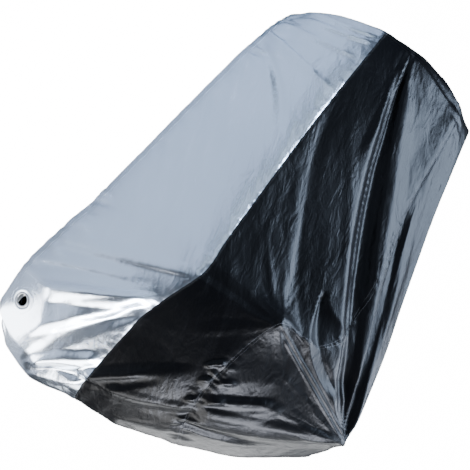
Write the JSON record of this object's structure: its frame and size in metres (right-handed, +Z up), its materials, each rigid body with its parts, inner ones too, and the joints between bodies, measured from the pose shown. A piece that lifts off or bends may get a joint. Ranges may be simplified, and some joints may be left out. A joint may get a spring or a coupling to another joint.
{
  "type": "motorcycle cover",
  "caption": "Fitted two-tone cloth cover for a motorcycle, draped over its screen, handlebar and seat, open below, with a lock eyelet low on each side at the front.",
  "frame": {"origin": "on the ground under the middle of the cover's bounding box", "axes": "+X towards the front of the covered motorcycle, +Y towards its left side, +Z up"},
  "size_m": [2.1378, 0.8684, 1.366],
  "materials": {
    "black_cloth": "coated polyester, slightly glossy",
    "silver_cloth": "silver-coated polyester, slightly glossy",
    "eyelet_metal": "polished"
  },
  "bodies": {
    "root": {"crown": "black_cloth", "side_band": "black_cloth", "skirt": "silver_cloth", "eyelet_patch_near": "silver_cloth", "eyelet_ring_near": "eyelet_metal", "eyelet_patch_far": "silver_cloth", "eyelet_ring_far": "eyelet_metal"}
  },
  "joints": []
}
